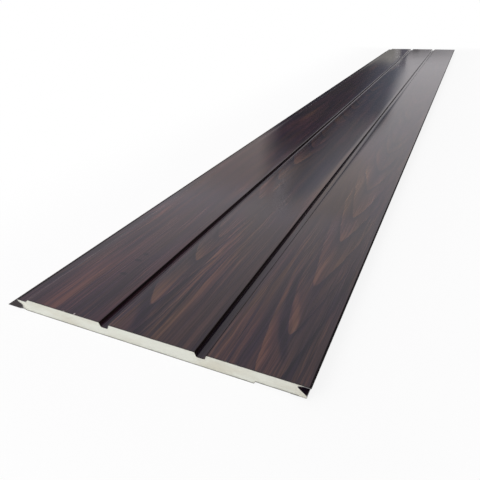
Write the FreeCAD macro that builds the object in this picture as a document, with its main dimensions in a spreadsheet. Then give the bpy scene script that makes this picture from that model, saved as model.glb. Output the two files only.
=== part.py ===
"""Insulated metal siding panel: a roll-formed steel face sheet, a rigid foam core and a foil back.

The panel lies on its back with its face up. X runs across the panel, from the nailing flange to the cover lip,
Y runs along its length and Z is the height above the back. The origin is the middle of the underside.
"""

import FreeCAD, Part
import math
import os
from dataclasses import dataclass

import Sketcher

# Driving dimensions in millimetres. A bend's radius is the one on its inner side.
DIMENSIONS = {
    # Whole panel.
    "panel_length": 3000.0,
    "panel_thickness": 18.0,
    "sheet_thickness": 0.4,
    "foil_thickness": 0.06,
    # Planks and the pressed grooves between them.
    "plank_count": 3,
    "plank_width": 115.5,
    "groove_width": 14.0,
    "groove_floor": 9.4,
    "groove_depth": 6.0,
    "shoulder_radius": 1.2,
    "floor_radius": 1.8,
    # Tongue edge with its nailing flange.
    "notch_run": 4.2,
    "tongue_length": 19.5,
    "tongue_drop": 4.0,
    "tongue_tip_height": 1.9,
    "tip_radius": 0.5,
    "recess_depth": 7.5,
    "recess_draft": 0.5,
    "flange_width": 21.5,
    "flange_ramp": 7.0,
    "flange_rise": 1.2,
    "bend_radius": 0.8,
    # Cover lip and the slot that takes the next panel's tongue.
    "joint_gap": 8.5,
    "hem_width": 7.5,
    "hem_gap": 0.4,
    "hem_radius": 0.15,
    "fold_opening": 1.5,
    "fold_radius": 0.8,
    "tongue_clearance": 2.5,
    "slope_clearance": 0.4,
    "lip_clearance": 0.5,
    "lip_gap": 2.0,
    "lip_height": 3.2,
    "return_width": 17.0,
    # Back.
    "rebate_depth": 2.8,
    "rebate_room": 29.0,
    "rebate_ramp": 1.5,
    "foil_lap": 8.0,
    "foil_ramp": 5.5,
}

# Places across the section, measured from the left edge of the first plank, and heights above the back.
PITCH = "(dims.plank_width + dims.groove_width)"
FACE_END = f"(dims.plank_count * {PITCH} - dims.groove_width)"
GROOVE_WALL = "((dims.groove_width - dims.groove_floor) / 2)"
GROOVE_BED = "(dims.panel_thickness - dims.groove_depth)"
TONGUE_TOP = "(dims.panel_thickness - dims.tongue_drop)"
TONGUE_TIP_FOOT = f"({TONGUE_TOP} - dims.tongue_tip_height)"
RECESS_WALL = "(dims.recess_depth - dims.tongue_length)"
RETURN_HEIGHT = "(dims.rebate_depth - dims.sheet_thickness)"
LIP_TOP = f"({RETURN_HEIGHT} + dims.lip_height)"
RECESS_ROOF = f"({LIP_TOP} + dims.lip_gap)"
FLANGE_ROOT = f"({RECESS_WALL} + dims.recess_draft)"
FLANGE_RAMP_FOOT = f"({FLANGE_ROOT} - dims.flange_ramp)"
FLANGE_EDGE = f"({FLANGE_RAMP_FOOT} - dims.flange_width)"
ROOT_HEIGHT = "(dims.flange_rise + dims.sheet_thickness)"
QUARTER_SHEET = "(dims.sheet_thickness / 4)"

# The next panel repeats this one at the cover width, so the slot follows the tongue and recess that it takes.
COVER_WIDTH = f"({FACE_END} + dims.joint_gap)"
NEXT_TONGUE_TIP = f"({COVER_WIDTH} - dims.tongue_length)"
LIP_TIP = f"({COVER_WIDTH} + {RECESS_WALL} - dims.lip_clearance)"
SLOPE_AT_TIP = f"({TONGUE_TIP_FOOT} - dims.slope_clearance)"
LIP_SLOPE = f"(({SLOPE_AT_TIP} - {LIP_TOP}) / ({LIP_TIP} - {NEXT_TONGUE_TIP}))"
SLOT_APEX = f"({NEXT_TONGUE_TIP} - dims.tongue_clearance)"
SLOT_FLOOR = f"({SLOPE_AT_TIP} + dims.tongue_clearance * {LIP_SLOPE})"
SLOT_ROOF = f"({SLOT_FLOOR} + dims.fold_opening)"
HEM_BACK = f"({FACE_END} - dims.hem_width)"
HEM_FOOT = "(dims.panel_thickness - 2 * dims.sheet_thickness - dims.hem_gap)"
RETURN_END = f"({LIP_TIP} - dims.return_width)"
REBATE_START = f"({COVER_WIDTH} + {FLANGE_EDGE} - dims.rebate_room)"
MIDDLE = f"(({FACE_END} + {FLANGE_EDGE}) / 2)"


@dataclass(frozen=True)
class Corner:
    """One corner of a section line: its place across, its height, and the sizes that add up to its radius."""

    name: str
    across: str
    height: str
    radius: tuple = ()


def hollow(radius):
    """The radius of the painted line in a bend that it lies inside of."""
    return (radius,)


def crest(radius):
    """The radius of the painted line in a bend that it goes round the outside of."""
    return (radius, "sheet_thickness")


def groove_corners(number):
    """The four corners of one pressed groove, which follows the plank of that number."""
    right = f"({number} * {PITCH})"
    left = f"({right} - dims.groove_width)"
    name = f"groove_{number}"
    return [
        Corner(f"{name}_left_shoulder", left, "dims.panel_thickness", crest("shoulder_radius")),
        Corner(f"{name}_left_bed", f"{left} + {GROOVE_WALL}", GROOVE_BED, hollow("floor_radius")),
        Corner(f"{name}_right_bed", f"{right} - {GROOVE_WALL}", GROOVE_BED, hollow("floor_radius")),
        Corner(f"{name}_right_shoulder", right, "dims.panel_thickness", crest("shoulder_radius")),
    ]


def sheet_corners(plank_count):
    """The painted line of the face sheet, from the edge of the nailing flange to the end of the return."""
    tongue_edge = [
        Corner("flange_edge", FLANGE_EDGE, "dims.sheet_thickness"),
        Corner("flange_ramp_foot", FLANGE_RAMP_FOOT, "dims.sheet_thickness", hollow("bend_radius")),
        Corner("flange_root", FLANGE_ROOT, ROOT_HEIGHT, hollow("bend_radius")),
        Corner("recess_roof", RECESS_WALL, RECESS_ROOF, hollow("bend_radius")),
        Corner("tongue_tip_foot", "-dims.tongue_length", TONGUE_TIP_FOOT, crest("tip_radius")),
        Corner("tongue_tip_top", "-dims.tongue_length", TONGUE_TOP, crest("tip_radius")),
        Corner("notch_bottom", "-dims.notch_run", TONGUE_TOP, hollow("bend_radius")),
        Corner("plank_edge", "0", "dims.panel_thickness", crest("shoulder_radius")),
    ]
    grooves = []
    for number in range(1, plank_count):
        grooves += groove_corners(number)
    lip_edge = [
        Corner("lip_end", FACE_END, "dims.panel_thickness", crest("hem_radius")),
        Corner("hem_fold", FACE_END, HEM_FOOT, crest("hem_radius")),
        Corner("hem_back", HEM_BACK, HEM_FOOT, hollow("bend_radius")),
        Corner("slot_roof", SLOT_APEX, SLOT_ROOF, hollow("fold_radius")),
        Corner("slot_floor", SLOT_APEX, SLOT_FLOOR, hollow("fold_radius")),
        Corner("lower_lip_top", LIP_TIP, LIP_TOP, crest("bend_radius")),
        Corner("lower_lip_foot", LIP_TIP, RETURN_HEIGHT, crest("bend_radius")),
        Corner("return_end", RETURN_END, RETURN_HEIGHT),
    ]
    return tongue_edge + grooves + lip_edge


def foil_corners():
    """The outer line of the foil, from the face sheet's flange root to the lap on its return."""
    return [
        Corner("foil_edge", f"{FLANGE_ROOT} - {QUARTER_SHEET}", f"{ROOT_HEIGHT} + {QUARTER_SHEET}"),
        Corner("foil_ramp_foot", f"{FLANGE_ROOT} + dims.foil_ramp", "0"),
        Corner("rebate_foot", REBATE_START, "0"),
        Corner("rebate_top", f"{REBATE_START} + dims.rebate_ramp", "dims.rebate_depth"),
        Corner("foil_end", f"{RETURN_END} + dims.foil_lap", "dims.rebate_depth"),
    ]


def core_blank_corners():
    """The block that the foam is cut from: the whole section, stopped where the hem closes."""
    slot_middle = f"(({SLOT_ROOF} + {LIP_TOP}) / 2)"
    return [
        Corner("blank_left_foot", "-dims.tongue_length", "0"),
        Corner("blank_right_foot", LIP_TIP, "0"),
        Corner("blank_step_foot", LIP_TIP, slot_middle),
        Corner("blank_step_top", HEM_BACK, slot_middle),
        Corner("blank_right_top", HEM_BACK, "dims.panel_thickness"),
        Corner("blank_left_top", "-dims.tongue_length", "dims.panel_thickness"),
    ]


def make_sheet(doc):
    """Writes the driving dimensions to a spreadsheet, one aliased cell each."""
    sheet = doc.addObject("Spreadsheet::Sheet", "dims")
    for row, (alias, value) in enumerate(DIMENSIONS.items(), start=1):
        sheet.set(f"A{row}", alias)
        sheet.set(f"B{row}", str(value))
        sheet.setAlias(f"B{row}", alias)
    doc.recompute()
    return sheet


def pin_corners(doc, sketch, corners):
    """Adds one construction point for each corner, held across and in height by the sheet's values.

    Returns the solved places of the corners.
    """
    for index, corner in enumerate(corners):
        guess = FreeCAD.Vector(index + 1.0, index + 1.0, 0.0)
        point = sketch.addGeometry(Part.Point(guess), True)
        for axis, expression in (("X", corner.across), ("Y", corner.height)):
            held = sketch.addConstraint(
                Sketcher.Constraint(f"Distance{axis}", -1, 1, point, 1, index + 1.0)
            )
            name = f"{corner.name}_{axis.lower()}"
            sketch.renameConstraint(held, name)
            sketch.setExpression(f"Constraints.{name}", expression)
    doc.recompute()
    return [FreeCAD.Vector(sketch.Geometry[i].X, sketch.Geometry[i].Y, 0.0) for i in range(len(corners))]


def bend_points(before, corner, after, radius):
    """The tangent points and the middle of the arc that rounds one corner."""
    towards_before = (before - corner).normalize()
    towards_after = (after - corner).normalize()
    half_angle = towards_before.getAngle(towards_after) / 2
    setback = radius / math.tan(half_angle)
    bisector = (towards_before + towards_after).normalize()
    middle = corner + bisector * (radius / math.sin(half_angle) - radius)
    return corner + towards_before * setback, middle, corner + towards_after * setback


def draw_section(doc, sheet, name, corners, closed=False):
    """Draws a section line through its corners, with an arc in each rounded one, in the XZ plane."""
    sketch = doc.addObject("Sketcher::SketchObject", name)
    sketch.Placement.Rotation = FreeCAD.Rotation(FreeCAD.Vector(1, 0, 0), 90)
    sketch.setExpression("Placement.Base.x", f"-{MIDDLE}")
    places = pin_corners(doc, sketch, corners)
    count = len(corners)
    starts = list(places)
    ends = list(places)
    bends = {}
    for i, corner in enumerate(corners):
        if corner.radius:
            ends[i], bends[i], starts[i] = bend_points(
                places[i - 1],
                places[i],
                places[(i + 1) % count],
                sum(sheet.get(alias) for alias in corner.radius),
            )
    lines = []
    for i in range(count if closed else count - 1):
        following = (i + 1) % count
        line = sketch.addGeometry(Part.LineSegment(starts[i], ends[following]), False)
        for corner_index, line_end in ((i, 1), (following, 2)):
            if corner_index in bends:
                sketch.addConstraint(Sketcher.Constraint("PointOnObject", corner_index, 1, line))
            else:
                sketch.addConstraint(Sketcher.Constraint("Coincident", line, line_end, corner_index, 1))
        lines.append(line)
    for i, middle in bends.items():
        round_corner(sketch, corners[i], lines[i - 1], lines[i], (ends[i], middle, starts[i]))
    doc.recompute()
    return sketch


def round_corner(sketch, corner, line_before, line_after, arc_points):
    """Adds the arc of one rounded corner, tangent to the lines on both sides."""
    arc = sketch.addGeometry(Part.Arc(*arc_points), False)
    from_start = sketch.getPoint(arc, 1).distanceToPoint(arc_points[0])
    from_end = sketch.getPoint(arc, 2).distanceToPoint(arc_points[0])
    first, last = (1, 2) if from_start < from_end else (2, 1)
    sketch.addConstraint(Sketcher.Constraint("Tangent", line_before, 2, arc, first))
    sketch.addConstraint(Sketcher.Constraint("Tangent", line_after, 1, arc, last))
    held = sketch.addConstraint(Sketcher.Constraint("Radius", arc, sketch.Geometry[arc].Radius))
    name = f"{corner.name}_bend"
    sketch.renameConstraint(held, name)
    sketch.setExpression(f"Constraints.{name}", " + ".join(f"dims.{alias}" for alias in corner.radius))


def thicken(doc, name, line, thickness):
    """Gives a section line its wall, on the side that the sign of the thickness says."""
    wall = doc.addObject("Part::Offset2D", name)
    wall.Source = line
    wall.Mode = "Skin"
    wall.Join = "Arc"
    wall.Fill = True
    wall.setExpression("Value", thickness)
    return wall


def extrude(doc, label, section):
    """Carries a section along the whole length of the panel, half to each side of the middle."""
    solid = doc.addObject("Part::Extrusion", label)
    solid.Base = section
    solid.DirMode = "Custom"
    solid.Dir = FreeCAD.Vector(0, 1, 0)
    solid.Solid = True
    solid.Symmetric = True
    solid.setExpression("LengthFwd", "dims.panel_length")
    return solid


def cut(doc, label, base, tool):
    """Takes one solid away from another."""
    result = doc.addObject("Part::Cut", label)
    result.Base = base
    result.Tool = tool
    return result


def build_face_sheet(doc, sheet):
    """The roll-formed steel sheet: its painted line with the wall on the foam side."""
    plank_count = int(sheet.get("plank_count"))
    line = draw_section(doc, sheet, "sheet_line", sheet_corners(plank_count))
    wall = thicken(doc, "sheet_wall", line, "-dims.sheet_thickness")
    return extrude(doc, "face_sheet", wall)


def build_backing_foil(doc, sheet, face_sheet):
    """The foil on the back, trimmed where its edge meets the face sheet."""
    line = draw_section(doc, sheet, "foil_line", foil_corners())
    wall = thicken(doc, "foil_wall", line, "dims.foil_thickness")
    strip = extrude(doc, "foil_strip", wall)
    return cut(doc, "backing_foil", strip, face_sheet)


def build_foam_core(doc, sheet, face_sheet, backing_foil):
    """The foam: what the face sheet and the foil enclose, which is the largest part of the cut block."""
    outline = draw_section(doc, sheet, "core_blank_line", core_blank_corners(), closed=True)
    blank = extrude(doc, "core_blank", outline)
    inside_sheet = cut(doc, "core_inside_sheet", blank, face_sheet)
    inside_foil = cut(doc, "core_inside_foil", inside_sheet, backing_foil)
    doc.recompute()
    foam_core = doc.addObject("Part::Feature", "foam_core")
    foam_core.Shape = max(inside_foil.Shape.Solids, key=lambda solid: solid.Volume)
    return foam_core


def check(doc, parts):
    """Stops the build if an object failed or a sub-part isn't one valid solid."""
    for item in doc.Objects:
        if "Invalid" in item.State or "Error" in item.State:
            raise RuntimeError(f"{item.Label} failed: {item.State}")
    for part in parts:
        if part.Shape.isNull() or not part.Shape.isValid() or len(part.Shape.Solids) != 1:
            raise RuntimeError(f"{part.Label} isn't one valid solid")


def main():
    """Builds the three pieces and writes each to its own file."""
    doc = FreeCAD.newDocument("siding_panel")
    sheet = make_sheet(doc)
    face_sheet = build_face_sheet(doc, sheet)
    backing_foil = build_backing_foil(doc, sheet, face_sheet)
    foam_core = build_foam_core(doc, sheet, face_sheet, backing_foil)
    doc.recompute()
    parts = [face_sheet, foam_core, backing_foil]
    check(doc, parts)
    os.makedirs("parts", exist_ok=True)
    for part in parts:
        part.Shape.exportStep(os.path.join("parts", f"{part.Label}.step"))
        box = part.Shape.BoundBox
        print(
            f"{part.Label}: {box.XLength:.2f} x {box.YLength:.2f} x {box.ZLength:.2f} mm,"
            f" {part.Shape.Volume / 1000:.1f} cm3"
        )


main()
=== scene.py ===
"""Looks of an insulated metal siding panel: printed film, foam core and foil back, face up on a pale floor.

X runs across the panel from the nailing flange to the cover lip, Y along its length and Z up from its back.
Section sizes are millimetres, as on a roll former's drawing. Meshes are in metres in the model's own frame.
"""

import logging
import math
from dataclasses import asdict, dataclass, field
from enum import Enum, IntEnum
from typing import Optional, Sequence, Union

import bpy
import numpy as np
from mathutils import Matrix, Quaternion, Vector
from mathutils.geometry import delaunay_2d_cdt


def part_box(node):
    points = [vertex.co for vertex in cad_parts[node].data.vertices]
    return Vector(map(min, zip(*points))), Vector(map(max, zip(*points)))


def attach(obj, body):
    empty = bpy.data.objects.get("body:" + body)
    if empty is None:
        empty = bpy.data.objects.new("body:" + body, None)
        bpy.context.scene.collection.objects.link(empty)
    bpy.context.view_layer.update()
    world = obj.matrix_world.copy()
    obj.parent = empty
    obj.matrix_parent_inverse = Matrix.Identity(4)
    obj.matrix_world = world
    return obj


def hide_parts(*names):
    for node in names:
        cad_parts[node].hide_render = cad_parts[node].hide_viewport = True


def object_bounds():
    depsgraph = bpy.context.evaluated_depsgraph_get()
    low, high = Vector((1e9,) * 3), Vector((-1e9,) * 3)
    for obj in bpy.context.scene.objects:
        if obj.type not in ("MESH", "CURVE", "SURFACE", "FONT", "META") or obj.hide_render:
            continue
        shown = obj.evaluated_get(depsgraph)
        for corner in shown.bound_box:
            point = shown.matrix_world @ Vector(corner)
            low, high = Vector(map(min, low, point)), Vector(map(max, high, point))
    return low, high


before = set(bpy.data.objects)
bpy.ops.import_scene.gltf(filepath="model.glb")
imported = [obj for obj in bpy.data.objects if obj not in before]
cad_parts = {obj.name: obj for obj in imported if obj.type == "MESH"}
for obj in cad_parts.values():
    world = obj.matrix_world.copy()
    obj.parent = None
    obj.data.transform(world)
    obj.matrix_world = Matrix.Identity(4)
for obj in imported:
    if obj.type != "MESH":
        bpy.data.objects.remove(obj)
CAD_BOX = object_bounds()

LOG = logging.getLogger("siding_panel")
MM = 0.001
END_TO_END = 1.0e5
PHOTO_PIXELS = 480
SHARP_ANGLE = math.radians(32.0)
LATTICE = 256
MID_TONE = 0.5
SCREEN_WHITE = 255.0
SCREEN_KNEE = 0.04045
SCREEN_TOE = 12.92
SCREEN_LIFT = 0.055
SCREEN_POWER = 2.4

Socket = bpy.types.NodeSocket
Node = bpy.types.Node
Tree = bpy.types.NodeTree
Feed = Union[Socket, float, Sequence[float]]
Pair = tuple[float, float]
Triple = tuple[float, float, float]
Quad = tuple[float, float, float, float]
Colour = Quad
GroupStart = tuple["NodeBench", Node, Node]


def shade(red: int, green: int, blue: int) -> Colour:
    """Turns a colour as seen on a screen into the linear values that shaders take.

    Args:
        red: screen red, 0 to 255.
        green: screen green, 0 to 255.
        blue: screen blue, 0 to 255.

    Returns:
        Linear red, green, blue and an alpha of one.
    """
    screen = np.array([red, green, blue]) / SCREEN_WHITE
    curve = ((screen + SCREEN_LIFT) / (1 + SCREEN_LIFT)) ** SCREEN_POWER
    linear = np.where(screen <= SCREEN_KNEE, screen / SCREEN_TOE, curve)
    return (*(float(value) for value in linear), 1.0)


def grey(value: float) -> Colour:
    """Makes a grey of one linear value."""
    return (value, value, value, 1.0)


def smooth_step(value: np.ndarray) -> np.ndarray:
    """Eases values from 0 to 1 by 3 t t - 2 t t t, held at both ends."""
    held = np.clip(value, 0.0, 1.0)
    return held * held * (3 - 2 * held)


# Section lines


@dataclass(frozen=True)
class Bend:
    """One corner of a section line, in millimetres: its place across, its height and its radius."""

    across: float
    height: float
    radius: float = 0.0


@dataclass(frozen=True)
class SectionLine:
    """A section line sampled at points, with the unit normal on its left and the run so far at each."""

    points: np.ndarray
    normals: np.ndarray
    run: np.ndarray

    def beside(self, distance: float) -> np.ndarray:
        """Gives the line carried sideways, to its left for a positive distance."""
        return self.points + self.normals * distance

    def moved(self, way: np.ndarray) -> "SectionLine":
        """Gives the line moved across and up."""
        return SectionLine(self.points + way, self.normals, self.run)


def left_of(headings: np.ndarray) -> np.ndarray:
    """Gives the unit normals on the left of directions of travel, from their angles in radians."""
    return np.stack([-np.sin(headings), np.cos(headings)], axis=-1)


def rounded_line(bends: Sequence[Bend], arc_steps: int, longest_step: float) -> SectionLine:
    """Samples a line through corners, each rounded by the arc that is tangent to both of its sides.

    An arc of radius r that turns by an angle a starts r tan(a / 2) before its corner. Its points are the
    centre less r times the left normal, while the heading goes evenly from one side's to the other's.

    Args:
        bends: the corners in order, in millimetres.
        arc_steps: steps along each arc.
        longest_step: the longest step along a straight stretch, in millimetres.

    Returns:
        The sampled line in metres.
    """
    corners = np.array([(bend.across, bend.height) for bend in bends])
    sides = np.diff(corners, axis=0)
    headings = np.arctan2(sides[:, 1], sides[:, 0])
    turns = (np.diff(headings) + math.pi) % (2 * math.pi) - math.pi
    points = [corners[:1]]
    normals = [left_of(headings[:1])]
    for index, bend in enumerate(bends[1:], start=1):
        way = np.array([math.cos(headings[index - 1]), math.sin(headings[index - 1])])
        turn = turns[index - 1] if index < len(bends) - 1 else 0.0
        start = corners[index] - way * bend.radius * math.tan(abs(turn) / 2)
        steps = max(1, math.ceil(np.linalg.norm(start - points[-1][-1]) / longest_step))
        share = np.linspace(0.0, 1.0, steps + 1)[1:, None]
        points.append(points[-1][-1] * (1 - share) + start * share)
        normals.append(np.repeat(left_of(headings[index - 1 : index]), steps, axis=0))
        if bend.radius:
            spread = headings[index - 1] + turn * np.linspace(0.0, 1.0, arc_steps + 1)
            reach = bend.radius * np.sign(turn)
            centre = start + reach * left_of(spread[:1])
            points.append((centre - reach * left_of(spread))[1:])
            normals.append(left_of(spread)[1:])
    line = np.concatenate(points)
    steps_run = np.linalg.norm(np.diff(line, axis=0), axis=1)
    run = np.concatenate([[0.0], np.cumsum(steps_run)])
    return SectionLine(line * MM, np.concatenate(normals), run * MM)


@dataclass(frozen=True)
class PanelSection:
    """Sizes of the panel's section in millimetres, from the first plank's left edge and up from the back."""

    panel_thickness: float = 18.0
    sheet_thickness: float = 0.4
    foil_thickness: float = 0.06
    plank_count: int = 3
    plank_width: float = 115.5
    groove_width: float = 14.0
    groove_floor: float = 9.4
    groove_depth: float = 6.0
    shoulder_radius: float = 1.6
    floor_radius: float = 1.8
    notch_run: float = 4.2
    tongue_length: float = 19.5
    tongue_drop: float = 4.0
    tongue_tip_height: float = 1.9
    tip_radius: float = 0.9
    recess_wall: float = -12.0
    recess_roof: float = 7.6
    flange_root: float = -11.5
    flange_rise: float = 1.2
    flange_ramp_foot: float = -18.5
    flange_width: float = 21.5
    bend_radius: float = 0.8
    outer_bend_radius: float = 1.2
    hem_width: float = 7.5
    hem_foot: float = 16.8
    hem_radius: float = 0.55
    slot_apex: float = 361.0
    slot_roof: float = 15.379
    slot_floor: float = 13.879
    lip_tip: float = 370.5
    lip_top: float = 5.6
    return_width: float = 17.0
    rebate_depth: float = 2.8
    rebate_start: float = 314.0
    rebate_ramp: float = 1.5
    foil_lap: float = 8.0
    foil_ramp: float = 5.5
    rim_width: float = 2.4
    crease_width: float = 1.3

    @property
    def pitch(self) -> float:
        """The distance from one plank to the next."""
        return self.plank_width + self.groove_width

    @property
    def face_end(self) -> float:
        """The place of the cover lip's end."""
        return self.plank_count * self.pitch - self.groove_width

    @property
    def return_height(self) -> float:
        """The height of the return's painted side."""
        return self.rebate_depth - self.sheet_thickness

    @property
    def flange_edge(self) -> float:
        """The place of the nailing flange's free edge."""
        return self.flange_ramp_foot - self.flange_width

    def sheet_bends(self) -> list[Bend]:
        """Lists the corners of the painted line, from the nailing flange's edge to the end of the return.

        Returns:
            The corners in order.
        """
        tongue_top = self.panel_thickness - self.tongue_drop
        bed = self.panel_thickness - self.groove_depth
        wall = (self.groove_width - self.groove_floor) / 2
        tongue_edge = [
            Bend(self.flange_edge, self.sheet_thickness),
            Bend(self.flange_ramp_foot, self.sheet_thickness, self.bend_radius),
            Bend(self.flange_root, self.flange_rise + self.sheet_thickness, self.bend_radius),
            Bend(self.recess_wall, self.recess_roof, self.bend_radius),
            Bend(-self.tongue_length, tongue_top - self.tongue_tip_height, self.tip_radius),
            Bend(-self.tongue_length, tongue_top, self.tip_radius),
            Bend(self.rim_width - self.tongue_length, tongue_top),
            Bend(-self.notch_run, tongue_top, self.bend_radius),
            Bend(0.0, self.panel_thickness, self.shoulder_radius),
        ]
        grooves = []
        for number in range(1, self.plank_count):
            right = number * self.pitch
            left = right - self.groove_width
            grooves += [
                Bend(left, self.panel_thickness, self.shoulder_radius),
                Bend(left + wall, bed, self.floor_radius),
                Bend(right - wall, bed, self.floor_radius),
                Bend(right, self.panel_thickness, self.shoulder_radius),
            ]
        lip_edge = [
            Bend(self.face_end - self.rim_width, self.panel_thickness),
            Bend(self.face_end, self.panel_thickness, self.hem_radius),
            Bend(self.face_end, self.hem_foot, self.hem_radius),
            Bend(self.face_end - self.hem_width, self.hem_foot, self.bend_radius),
            Bend(self.slot_apex, self.slot_roof, self.bend_radius),
            Bend(self.slot_apex, self.slot_floor, self.bend_radius),
            Bend(self.lip_tip, self.lip_top, self.outer_bend_radius),
            Bend(self.lip_tip, self.return_height, self.outer_bend_radius),
            Bend(self.lip_tip - self.return_width, self.return_height),
        ]
        return tongue_edge + grooves + lip_edge

    def foil_bends(self) -> list[Bend]:
        """Lists the corners of the foil's outer line, from the flange root to the lap on the return.

        Returns:
            The corners in order.
        """
        edge = self.flange_root + self.sheet_thickness
        slope = (self.flange_rise + self.sheet_thickness) / self.foil_ramp
        foot = self.flange_root + self.foil_ramp
        lap_end = self.lip_tip - self.return_width + self.foil_lap
        return [
            Bend(edge, (foot - edge) * slope),
            Bend(foot, 0.0, self.bend_radius),
            Bend(self.rebate_start, 0.0, self.bend_radius),
            Bend(self.rebate_start + self.rebate_ramp, self.rebate_depth, self.bend_radius),
            Bend(lap_end, self.rebate_depth),
        ]


# Meshes


class WallSide(IntEnum):
    """The sides of a wall that is carried along the panel, which are also its material slots."""

    LEFT = 0
    RIGHT = 1
    CUT = 2
    RIM = 3


@dataclass
class MeshParts:
    """Vertices, faces and each face's material slot of a mesh that is still in arrays."""

    vertices: np.ndarray
    faces: list[list[int]]
    slots: np.ndarray
    attributes: dict[str, np.ndarray] = field(default_factory=dict)


def grid_quads(rows: int, columns: int, first: int = 0) -> np.ndarray:
    """Numbers the quads of a grid of vertices that is stored row by row.

    Args:
        rows: rows of vertices.
        columns: vertices in each row.
        first: the number of the grid's first vertex.

    Returns:
        One row of four vertex numbers for each quad, in the order along a row and then to the next row.
    """
    numbers = first + np.arange(rows * columns).reshape(rows, columns)
    corners = [numbers[:-1, :-1], numbers[:-1, 1:], numbers[1:, 1:], numbers[1:, :-1]]
    return np.stack(corners, axis=-1).reshape(-1, 4)


def carried(line: np.ndarray, stations: np.ndarray) -> np.ndarray:
    """Carries a section line along the panel: a grid of the points at every station.

    Args:
        line: the section's places across and heights.
        stations: places along the panel.

    Returns:
        An array of stations by points by three coordinates.
    """
    shape = (len(stations), len(line))
    across = np.broadcast_to(line[None, :, 0], shape)
    along = np.broadcast_to(stations[:, None], shape)
    height = np.broadcast_to(line[None, :, 1], shape)
    return np.stack([across, along, height], axis=-1)


def wall_parts(left: np.ndarray, right: np.ndarray) -> MeshParts:
    """Closes two grids that lie side by side into one wall, with its long edges and its two cut ends.

    Args:
        left: grid of stations by points by three, on the left of the section line's travel.
        right: the same grid on the right.

    Returns:
        The wall's mesh, with each face's slot set from its side.
    """
    rows, columns = left.shape[:2]
    count = rows * columns
    numbers = np.arange(count).reshape(rows, columns)
    left_faces = grid_quads(rows, columns)
    right_faces = grid_quads(rows, columns, count)[:, ::-1]
    strips = []
    for column, turn in ((numbers[:, 0], 1), (numbers[:, -1], -1)):
        strip = np.stack([column[:-1], column[1:], column[1:] + count, column[:-1] + count], axis=-1)
        strips.append(strip[:, ::turn])
    for row, turn in ((numbers[0], 1), (numbers[-1], -1)):
        strip = np.stack([row[:-1], row[:-1] + count, row[1:] + count, row[1:]], axis=-1)
        strips.append(strip[:, ::turn])
    cut_faces = np.concatenate(strips)
    slots = np.repeat(
        [WallSide.LEFT, WallSide.RIGHT, WallSide.CUT],
        [len(left_faces), len(right_faces), len(cut_faces)],
    )
    vertices = np.concatenate([left.reshape(-1, 3), right.reshape(-1, 3)])
    return MeshParts(vertices, np.concatenate([left_faces, right_faces, cut_faces]).tolist(), slots)


def make_piece(name: str, parts: MeshParts, materials: Sequence[bpy.types.Material]) -> bpy.types.Object:
    """Puts mesh arrays into a new object at the origin, smooth except along its sharp edges.

    Args:
        name: the piece's name.
        parts: its mesh in arrays.
        materials: its materials, in the order of its slots.

    Returns:
        The new object, linked to the scene.
    """
    mesh = bpy.data.meshes.new(name)
    mesh.from_pydata(parts.vertices.tolist(), [], parts.faces)
    for material in materials:
        mesh.materials.append(material)
    mesh.polygons.foreach_set("material_index", np.asarray(parts.slots, dtype=np.int32))
    mesh.polygons.foreach_set("use_smooth", np.ones(len(parts.faces), dtype=bool))
    mesh.set_sharp_from_angle(angle=SHARP_ANGLE)
    for label, values in parts.attributes.items():
        kind = "FLOAT_VECTOR" if values.ndim == 2 else "FLOAT"
        stored = mesh.attributes.new(label, kind, "POINT")
        stored.data.foreach_set("vector" if values.ndim == 2 else "value", values.astype(np.float32).ravel())
    mesh.validate()
    piece = bpy.data.objects.new(name, mesh)
    bpy.context.scene.collection.objects.link(piece)
    return piece


def seeded_relief(places: np.ndarray, cell: Sequence[float], seed: int) -> np.ndarray:
    """Smooth relief from 0 to 1: seeded values at a lattice's knots, with a cubic ease between them.

    Args:
        places: points in the plane, as pairs, in metres.
        cell: the lattice's two spacings, in metres.
        seed: the seed of the knots' values.

    Returns:
        One value for each point.
    """
    knots = np.random.default_rng(seed).random((LATTICE + 1, LATTICE + 1))
    scaled = places / np.asarray(cell)
    base = np.floor(scaled).astype(int)
    part = scaled - base
    ease = part * part * (3 - 2 * part)
    low = base % LATTICE
    high = low + 1
    left, right = low[..., 0], high[..., 0]
    near, far = low[..., 1], high[..., 1]
    across, along = ease[..., 0], ease[..., 1]
    bottom = knots[left, near] * (1 - across) + knots[right, near] * across
    top = knots[left, far] * (1 - across) + knots[right, far] * across
    return bottom * (1 - along) + top * along


@dataclass(frozen=True)
class ReliefLayer:
    """One layer of seeded relief: its lattice's spacings in metres, its seed and its share of the sum."""

    cell: Pair
    seed: int
    share: float


def layered_relief(places: np.ndarray, layers: Sequence[ReliefLayer]) -> np.ndarray:
    """Adds up layers of seeded relief, each times its share."""
    return sum(layer.share * seeded_relief(places, layer.cell, layer.seed) for layer in layers)


# Shader nodes


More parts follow.
